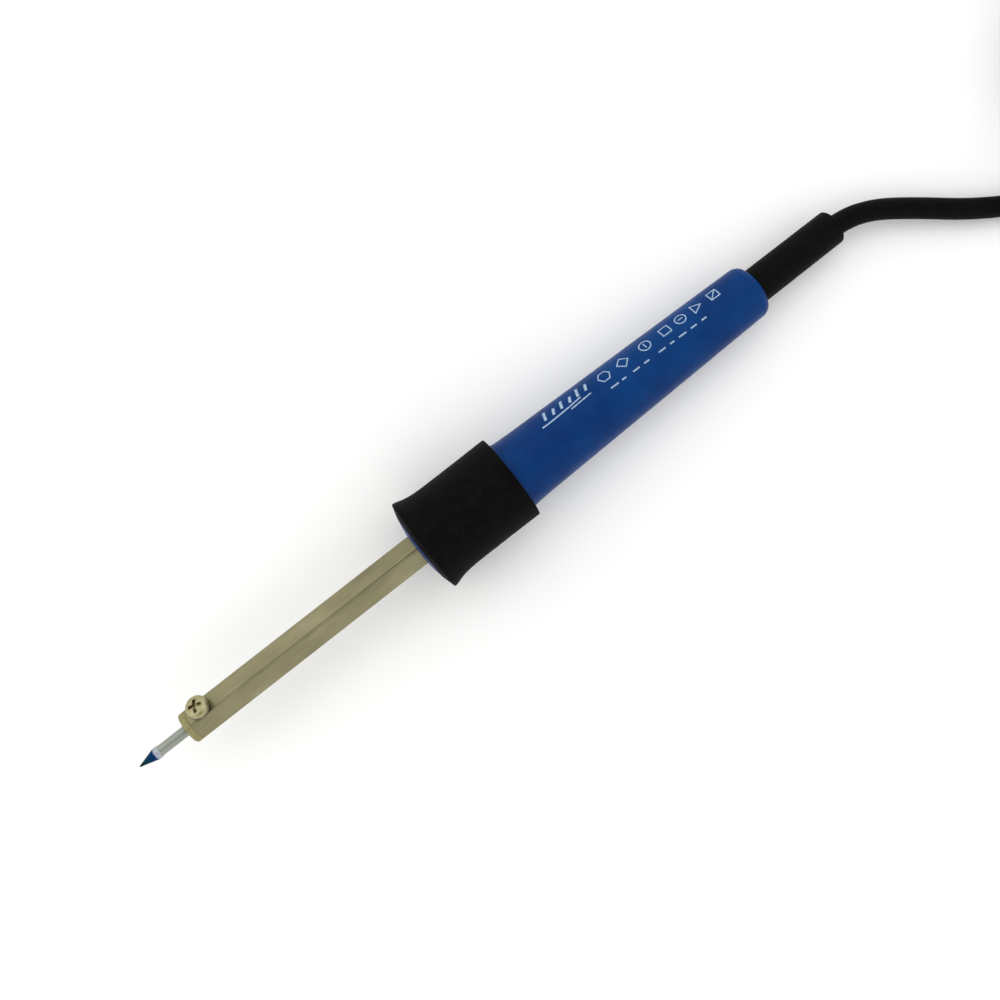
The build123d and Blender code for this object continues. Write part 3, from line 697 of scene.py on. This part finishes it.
def outline(station, size, sides, tip):
    """Corner points of a regular closed shape round a station, its sides cut into short runs so that
    it lies on the round handle."""
    angle = tip + np.arange(sides + 1) * 2 * np.pi / sides
    corner = np.stack([np.cos(angle), np.sin(angle)], 1) * size
    share = np.linspace(0, 1, 7)[:-1, None]
    line = (corner[:-1, None] * (1 - share) + corner[1:, None] * share).reshape(-1, 2)
    return station + line[:, 0], line[:, 1]


def joined(name, pieces):
    """One piece from several, the others removed."""
    work = bmesh.new()
    for piece in pieces:
        work.from_mesh(piece.data)
    for piece in pieces[1:]:
        bpy.data.objects.remove(piece)
    work.to_mesh(pieces[0].data)
    work.free()
    pieces[0].name = name
    return pieces[0]


class IRON_OT_print(bpy.types.Operator):
    """Pale marks printed on the handle: an underlined row of plain bars, a row of plain outlines, and a
    row of short dashes. They are shapes only, and say nothing."""
    bl_idname = "iron.print"
    bl_label = "Printed Marks"

    def execute(self, context):
        turn = context.scene.iron_handle.print_turn
        marks = []

        def line(stations, arcs, width, closed=False):
            marks.append(surface("mark", stroke(stations, arcs, width, turn, closed), wrap_rows=closed,
                                 caps=not closed))

        def dash(start, stop, arc_start, arc_stop, width):
            line(np.linspace(start, stop, 12), np.linspace(arc_start, arc_stop, 12), width)

        # Six short bars of uneven height over two thin underlines.
        for place, height in zip(np.linspace(145.2, 159.0, 6), (3.4, 2.3, 2.9, 2.1, 3.2, 2.5)):
            dash(place - 0.5, place + 0.5, 0.3, 0.3 - height, 0.8)
        share = np.linspace(0, 1, 40)
        line(142.6 + 13.5 * share, 1.7 - 0.8 * share**2, 0.45)
        line(152.0 + 7.0 * share, 2.3 - 0.4 * share, 0.4)
        # A row of plain outlines.
        for place, size, sides, tip in ((164.8, 1.9, 6, 0), (171.2, 1.9, 4, 0), (179.0, 1.7, 30, 0),
                                        (186.0, 2.0, 4, np.pi / 4), (191.4, 1.6, 30, 0), (196.6, 1.9, 3, 0),
                                        (202.9, 2.0, 4, np.pi / 4)):
            line(*outline(place, size, sides, tip), 0.34, closed=True)
        dash(179.0, 179.0, 0.9, -0.9, 0.34)
        dash(190.6, 192.2, 0, 0, 0.34)
        dash(201.7, 204.1, 1.2, -1.2, 0.34)
        # A row of short dashes nearer the top.
        for start, length in ((164.0, 2.6), (167.8, 1.4), (171.6, 2.2), (175.4, 1.8), (180.4, 2.4),
                              (184.4, 1.4), (187.4, 2.6), (191.6, 2.0), (195.4, 1.6)):
            dash(start, start + length, 4.4, 4.4, 0.45)
        finish_piece(joined("printed_marks", marks), "handle_plastic", "ink")
        return {"FINISHED"}


class IRON_OT_boot(bpy.types.Operator):
    """The strain relief: a plain tapered sleeve with a softened rear edge, a neck through the handle's
    rear wall and a flange inside that wall."""
    bl_idname = "iron.boot"
    bl_label = "Cord Boot"

    def execute(self, context):
        neck, rear = HANDLE_END + 0.05, REAR_WALL_START - 0.05
        profile = rounded([(225.0, 3.1), (BOOT_FLANGE_START, 3.1), (BOOT_FLANGE_START, 5.4), (rear, 5.4),
                           (rear, 4.3), (neck, 4.3), (neck, 5.26), (BOOT_END, 5.14), (BOOT_END, 3.12),
                           (225.0, 3.1)],
                          [0.1, 0.2, 0.1, 0.1, 0.1, 0.25, 0.75, 0.15], 7)[:-1]
        piece = turned("strain_relief", profile, columns=96)
        finish_piece(piece, "boot_rubber", "boot", "cord_boot")
        return {"FINISHED"}


# The cord's route: out of the boot, down to the table and into the hank, and from the hank to the plug.
LEAD_ROUTE = [(0.11566, 0, 0.00663), (0.12415, 0, 0.00617), (0.1338, -0.0029, 0.00535),
              (0.1442, -0.0102, 0.0045), (0.1588, -0.022, 0.0035), (0.1784, -0.0332, 0.0031),
              (0.199, -0.0374, 0.0032), (0.220, -0.0379, 0.00365)]
TAIL_ROUTE = [(0.2122, -0.0306, 0.01585), (0.2207, -0.0319, 0.0159), (0.2317, -0.0302, 0.018),
              (0.24432, -0.02711, 0.02199), (0.2558, -0.0255, 0.0251)]
HANK_CENTRE = (253.0, -13.5)
FOLD_SPACING = 66.0
# Fold radius and height of each turn's place in the bundle, millimetres.
TURN_PLACES = [(24.4, 3.65), (18.3, 3.65), (18.3, 9.75), (24.4, 9.75), (24.4, 15.85), (18.3, 15.85)]
# Where on its way back each turn starts moving to its next place, and over what length; later turns
# move earlier, so that the place is free when the turn below or outside comes to it.
MOVES = [(82.0, 60.0), (52.0, 54.0), (28.0, 38.0), (14.0, 36.0), (0.0, 36.0)]
# Control points of a quadratic curve stand this much further out than the bend they make.
CONTROL_REACH = 1.0086
# Control points stand this far apart round each fold.
FOLD_STEP = 15.0


def hank_turn(number):
    """One turn of the hank: out along the -Y side, half a circle at the far fold, back along the +Y side
    and half a circle at the near fold, moving over to the next turn's place on the way back."""
    radius, height = TURN_PLACES[number]
    next_radius, next_height = TURN_PLACES[number + 1]
    half = FOLD_SPACING / 2
    far_angle = np.radians(np.arange(FOLD_STEP / 2 - 90, 90, FOLD_STEP))
    out_x = np.array([-half + 3, -half + 14, 0, half - 14, half - 3])
    far = np.stack([half + CONTROL_REACH * radius * np.cos(far_angle),
                    CONTROL_REACH * radius * np.sin(far_angle)], 1)
    way = np.concatenate([[3.0, 12.0, 26.0, 40.0, 54.0, FOLD_SPACING - 3.0],
                          FOLD_SPACING + np.radians(FOLD_STEP) * radius * np.arange(0.5, 12)])
    start, length = MOVES[number]
    share = held((way - start) / length)
    share = share * share * (3 - 2 * share)
    size = radius + (next_radius - radius) * share
    rise = height + (next_height - height) * share
    near_angle = np.radians(np.arange(FOLD_STEP / 2 + 90, 270, FOLD_STEP))
    back_x = np.concatenate([half - way[:6], -half + CONTROL_REACH * size[6:] * np.cos(near_angle)])
    back_y = np.concatenate([size[:6], CONTROL_REACH * size[6:] * np.sin(near_angle)])
    x = np.concatenate([out_x, far[:, 0], back_x])
    y = np.concatenate([0 * out_x - radius, far[:, 1], back_y])
    z = np.concatenate([0 * out_x + height, 0 * far_angle + height, rise])
    return np.stack([x + HANK_CENTRE[0], y + HANK_CENTRE[1], z], 1) * MM


class IRON_OT_cord(bpy.types.Operator):
    """The mains cord: one smooth curve out of the boot, across the table, through the turns of the hank
    and up to the plug."""
    bl_idname = "iron.cord"
    bl_label = "Cord"

    def execute(self, context):
        turns = [hank_turn(number) for number in range(context.scene.iron_cord.turns)]
        turns[-1] = turns[-1][:-1]
        route = np.concatenate([np.array(LEAD_ROUTE[:-1])] + turns + [np.array(TAIL_ROUTE[1:])])
        curve = bpy.data.curves.new("cord", "CURVE")
        curve.dimensions = "3D"
        spline = curve.splines.new("NURBS")
        spline.points.add(len(route) - 1)
        spline.points.foreach_set("co", np.hstack([route, np.ones((len(route), 1))]).ravel())
        spline.order_u = 3
        spline.use_endpoint_u = True
        spline.resolution_u = 6
        curve.resolution_u = 6
        curve.bevel_depth = CORD_DIAMETER / 2 * MM
        curve.bevel_resolution = 6
        curve.use_fill_caps = True
        piece = bpy.data.objects.new("cord", curve)
        context.scene.collection.objects.link(piece)
        finish_piece(piece, "cord_rubber", "sheath", "cord_lead", "cord_hank", "cord_tail")
        return {"FINISHED"}


class IRON_OT_ties(bpy.types.Operator):
    """Two flat plastic ties, one round each side of the hank: each is a thin strip's section carried
    round the bundle of cord."""
    bl_idname = "iron.ties"
    bl_label = "Hank Ties"

    def execute(self, context):
        low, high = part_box("hank_ties")
        middle_z = (low.z + high.z) / 2 / MM
        # The bundle is two cords wide and three high, and the strip's middle lies 0.3 mm clear of it.
        loop = strip(CORD_DIAMETER + 0.3, 1.5 * CORD_DIAMETER + 0.3, 2.9, 9)
        tangent = unit(np.roll(loop, -1, 0) - np.roll(loop, 1, 0))
        normal = np.stack([-tangent[:, 1], tangent[:, 0]], 1)
        section = strip(2.4, 0.28, 0.12, 3)
        place = loop[:, None] + normal[:, None] * section[None, :, 1:2]
        bundle_aside = (TURN_PLACES[0][0] + TURN_PLACES[1][0]) / 2
        for number, (ahead, side) in enumerate(((-3.5, 1), (18.5, -1))):
            x = HANK_CENTRE[0] + ahead + section[None, :, 0] + 0 * place[..., 0]
            y = HANK_CENTRE[1] + side * bundle_aside + place[..., 0]
            grid = np.stack([x, y, middle_z + place[..., 1]], -1) * MM
            piece = surface(f"hank_tie_{number}", grid, wrap_rows=True)
            finish_piece(piece, "tie_plastic", "tie", "hank_ties")
        return {"FINISHED"}


# ---- Plug ----
PLUG_OUT = np.array(frame["record"]["mounts"][0]["axis"])
PLUG_SIDE = unit(np.cross([0.0, 0.0, 1.0], PLUG_OUT))
PLUG_TOP = np.cross(PLUG_OUT, PLUG_SIDE)
PLUG_ORIGIN = np.array(TAIL_ROUTE[-1]) / MM
PLUG_FACE = 58.0
PLUG_RADIUS = 18.5
BODY_START = 20.0
RIBS_START, RIBS_END = 22.5, 41.0
CLIP_SLOT_START, CLIP_SLOT_HALF, CLIP_SLOT_FLOOR = 46.4, 3.3, 15.6
PIN_RADIUS, PIN_ASIDE, PIN_END = 2.4, 9.5, 77.0


def on_plug(out, side, top):
    """Places arrays on the plug: out from the end of its boot, to its side and to its top."""
    out, side, top = np.broadcast_arrays(out, side, top)
    place = PLUG_ORIGIN + out[..., None] * PLUG_OUT + side[..., None] * PLUG_SIDE + top[..., None] * PLUG_TOP
    return place * MM


class IRON_OT_plug(bpy.types.Operator):
    """The earthed plug. The body is turned, with slots for the earth clips and a waist whose sides are
    ribbed by a cosine of the distance along it; the boot has rings cut in it; the pins end in domes; the
    clips are bent strips."""
    bl_idname = "iron.plug"
    bl_label = "Plug"

    def execute(self, context):
        ribs = context.scene.iron_plug.grip_ribs
        clip_half = np.arcsin(CLIP_SLOT_HALF / PLUG_RADIUS)
        edge = np.array([-clip_half - 0.012, -clip_half, clip_half, clip_half + 0.012])
        edges = np.concatenate([np.pi / 2 + edge, 3 * np.pi / 2 + edge])
        angle = np.sort(np.concatenate([ring_angles(256) + 1e-4, edges]))
        waist = np.linspace(0, 26, 48)
        neck = 7.6 + 3.6 * (waist / 12) ** 0.9 * np.exp(-0.02 * waist) + 6.3 * held((waist - 13) / 13) ** 2.4
        profile = [(BODY_START, 0.0), (BODY_START, 5.0), (BODY_START, 7.2), (BODY_START + 0.4, 7.6)]
        profile += [(BODY_START + w, n) for w, n in zip(waist[2:], np.minimum(neck[2:], 18.2))]
        profile += [tuple(p) for p in rounded([(46.1, 18.2), (46.7, PLUG_RADIUS), (57.2, PLUG_RADIUS),
                                               (PLUG_FACE, 17.7), (PLUG_FACE, 14.5)], 0.5, 5)]
        profile += [(PLUG_FACE, 14.4), (57.7, 14.2), (57.7, 0.0)]
        out, radius = np.array(profile).T[:, :, None]
        across_side = np.abs(np.cos(angle))
        rib_zone = held((out - RIBS_START) / 1.5) * held((RIBS_END - out) / 1.5)
        rib_zone = rib_zone * held((across_side - 0.55) / 0.1)
        ripple = 0.42 * rib_zone * np.cos((out - RIBS_START) * 2 * np.pi * ribs / (RIBS_END - RIBS_START))
        flat = 1 - 0.13 * held((RIBS_END - out) / 6) * held((out - 20.5) / 2) * across_side**3
        round_from_slot = np.minimum(np.abs(angle - np.pi / 2), np.abs(angle - 3 * np.pi / 2))
        in_slot = (round_from_slot < clip_half + 0.004) & (out > CLIP_SLOT_START) & (radius > CLIP_SLOT_FLOOR)
        size = np.where(in_slot, CLIP_SLOT_FLOOR / np.abs(np.sin(angle)), (radius + ripple) * flat)
        piece = surface("plug_moulding", carried(out, size, angle, on_plug), sharp=35)
        finish_piece(piece, "plug_pvc", "plug", "plug_body")

        steps = [(19.98, 0.0), (0.1, 0.0), (0.1, 4.1)]
        for groove in (4.0, 7.6, 11.2, 14.8):
            wide = 4.3 + 0.115 * groove
            steps += [(groove, wide), (groove, 3.95), (groove + 1.2, 3.95), (groove + 1.2, wide + 0.14)]
        steps += [(19.98, 6.6), (19.98, 0.0)]
        profile = rounded(steps, [0, 0.3] + [0.25] * (len(steps) - 5) + [0.2], 4)
        piece = turned("ringed_boot", profile[:-1], columns=64, place=on_plug)
        finish_piece(piece, "plug_pvc", "plug", "plug_boot")

        profile = rounded([(50.5, 0.0), (50.5, PIN_RADIUS), (PIN_END - 0.8, PIN_RADIUS), (PIN_END, 1.3),
                           (PIN_END, 0.0)], [0.1, 1.3, 0.6], 8)
        for number, side in enumerate((PIN_ASIDE, -PIN_ASIDE)):
            piece = turned(f"plug_pin_{number}", profile, columns=56, closed=False,
                           place=lambda out, across, up, side=side: on_plug(out, across + side, up))
            finish_piece(piece, "pin_brass", "pin", "plug_pins")

        bend = rounded([(46.6, 15.9), (52.0, 16.7), (57.2, 15.8)], 6.0, 9)
        section = strip(3.0, 0.3, 0.15, 3)
        for number, sign in enumerate((1, -1)):
            grid = on_plug(bend[:, :1] + 0 * section[:, 0], section[:, 0] + 0 * bend[:, :1],
                           sign * (bend[:, 1:2] + section[:, 1]))
            piece = surface(f"plug_clip_{number}", grid, caps=True)
            finish_piece(piece, "pin_brass", "pin", "plug_earth_clips")
        return {"FINISHED"}


class IRON_OT_inner(bpy.types.Operator):
    """Finishes for the pieces inside the barrel and the handle, which keep their own shapes."""
    bl_idname = "iron.inner"
    bl_label = "Inner Pieces"

    def execute(self, context):
        finishes = {
            "tube": ("core_tube", "barrel_flange", "cord_clamp"), "mica": ("mica_inner", "mica_outer"),
            "wire": ("heater_winding",), "steatite": ("rear_insulator",), "nickel": ("element_leads",),
            "sleeving": ("lead_sleeving", "splice_sleeves"), "screw": ("flange_screws",),
            "tinned": ("crimp_splices", "earth_tag"), "brown": ("core_brown",), "blue": ("core_blue",),
            "earth": ("core_green_yellow",), "sheath": ("cord_end",),
        }
        for finish, nodes in finishes.items():
            for node in nodes:
                materials = frame["nodes"][node].data.materials
                materials.clear()
                materials.append(finish_of(finish))
        return {"FINISHED"}


# The camera's place over the table in metres, its sensor in millimetres, and the overhead panel's power.
CAMERA_PLACE = (-0.00024, -0.00313)
SENSOR_WIDTH = 36.0
PANEL_WATTS = 3.0


class IRON_OT_stage(bpy.types.Operator):
    """A pale table, soft light from a large panel overhead, a smaller one at the side and the room all
    round, and a camera straight above that looks down on the iron."""
    bl_idname = "iron.stage"
    bl_label = "Stage"

    def execute(self, context):
        sizes = context.scene.iron_stage
        scene = context.scene
        reach = 3.0
        mesh = bpy.data.meshes.new("table")
        mesh.from_pydata([(-reach, -reach, 0), (reach, -reach, 0), (reach, reach, 0), (-reach, reach, 0)], [],
                         [(0, 1, 2, 3)])
        mesh.materials.append(blank("pale_laminate", roughness=0.6, base_color=linear(sizes.floor))[0])
        table = bpy.data.objects.new("table", mesh)
        scene.collection.objects.link(table)

        world = bpy.data.worlds.new("soft_room")
        scene.world = world
        world.use_nodes = True
        room = world.node_tree
        height = add(room, "SeparateXYZ", {0: add(room, "TexCoord").outputs["Generated"]}).outputs["Z"]
        sky = room.nodes["Background"]
        sky.inputs["Color"].default_value = (1, 1, 1, 1)
        room.links.new(spread(room, height, 0.8, 0.97, sizes.walls, sizes.ceiling), sky.inputs["Strength"])
        scene.view_settings.view_transform = "Standard"

        turn = sizes.turn
        right = Vector((math.cos(turn), math.sin(turn), 0))
        top = Vector((-math.sin(turn), math.cos(turn), 0))
        for name, place, size, share in (("overhead", top * 0.5 + Vector((0, 0, 1.3)), 1.2, 1.0),
                                         ("side", right * -0.9 + Vector((0, 0, 0.8)), 0.8, 0.3)):
            light = bpy.data.lights.new(name, "AREA")
            light.size = size
            light.energy = PANEL_WATTS * sizes.soft_light * share
            lamp = bpy.data.objects.new(name, light)
            lamp.location = place
            lamp.rotation_euler = (-place).to_track_quat("-Z", "Y").to_euler()
            scene.collection.objects.link(lamp)

        camera = bpy.data.cameras.new("camera")
        camera.lens = sizes.lens
        camera.sensor_width = SENSOR_WIDTH
        camera.clip_start = 0.01
        eye = bpy.data.objects.new("camera", camera)
        eye.location = (*CAMERA_PLACE, sizes.height)
        eye.rotation_euler = (0, 0, turn)
        scene.collection.objects.link(eye)
        scene.camera = eye
        return {"FINISHED"}


class IRON_PT_panel(bpy.types.Panel):
    """Lists the iron's pieces and their settings."""
    bl_idname = "IRON_PT_panel"
    bl_label = "Soldering Iron"
    bl_space_type = "VIEW_3D"
    bl_region_type = "UI"
    bl_category = "Iron"

    def draw(self, context):
        for name, (_, *operators) in SETTINGS.items():
            box = self.layout.box()
            settings = getattr(context.scene, name)
            for prop in settings.bl_rna.properties:
                if prop.identifier not in ("rna_type", "name"):
                    box.prop(settings, prop.identifier)
            for operator in operators:
                box.operator(operator.bl_idname)


# Each group of settings, with the operators that the panel lists under it.
SETTINGS = {"iron_stage": (StageSettings, IRON_OT_stage),
            "iron_bit": (BitSettings, IRON_OT_bit),
            "iron_barrel": (BarrelSettings, IRON_OT_barrel),
            "iron_screw": (ScrewSettings, IRON_OT_clamp_screw),
            "iron_handle": (HandleSettings, IRON_OT_handle, IRON_OT_grip, IRON_OT_print, IRON_OT_boot,
                            IRON_OT_inner),
            "iron_cord": (CordSettings, IRON_OT_cord, IRON_OT_ties),
            "iron_plug": (PlugSettings, IRON_OT_plug)}
# The order in which they run: the ties and the plug come before the cord.
OPERATORS = (IRON_OT_stage, IRON_OT_ties, IRON_OT_plug, IRON_OT_cord, IRON_OT_bit, IRON_OT_barrel,
             IRON_OT_clamp_screw, IRON_OT_handle, IRON_OT_grip, IRON_OT_print, IRON_OT_boot, IRON_OT_inner)


def register():
    for name, (group, *_) in SETTINGS.items():
        bpy.utils.register_class(group)
        setattr(bpy.types.Scene, name, PointerProperty(type=group))
    for panel_or_operator in (*OPERATORS, IRON_PT_panel):
        bpy.utils.register_class(panel_or_operator)


def unregister():
    for panel_or_operator in (IRON_PT_panel, *reversed(OPERATORS)):
        bpy.utils.unregister_class(panel_or_operator)
    for name, (group, *_) in SETTINGS.items():
        delattr(bpy.types.Scene, name)
        bpy.utils.unregister_class(group)


def main():
    """Builds every piece in order."""
    register()
    for operator in OPERATORS:
        group, name = operator.bl_idname.split(".")
        if getattr(getattr(bpy.ops, group), name)() != {"FINISHED"}:
            raise RuntimeError(f"{operator.bl_idname} did not finish")


if __name__ == "__main__":
    main()
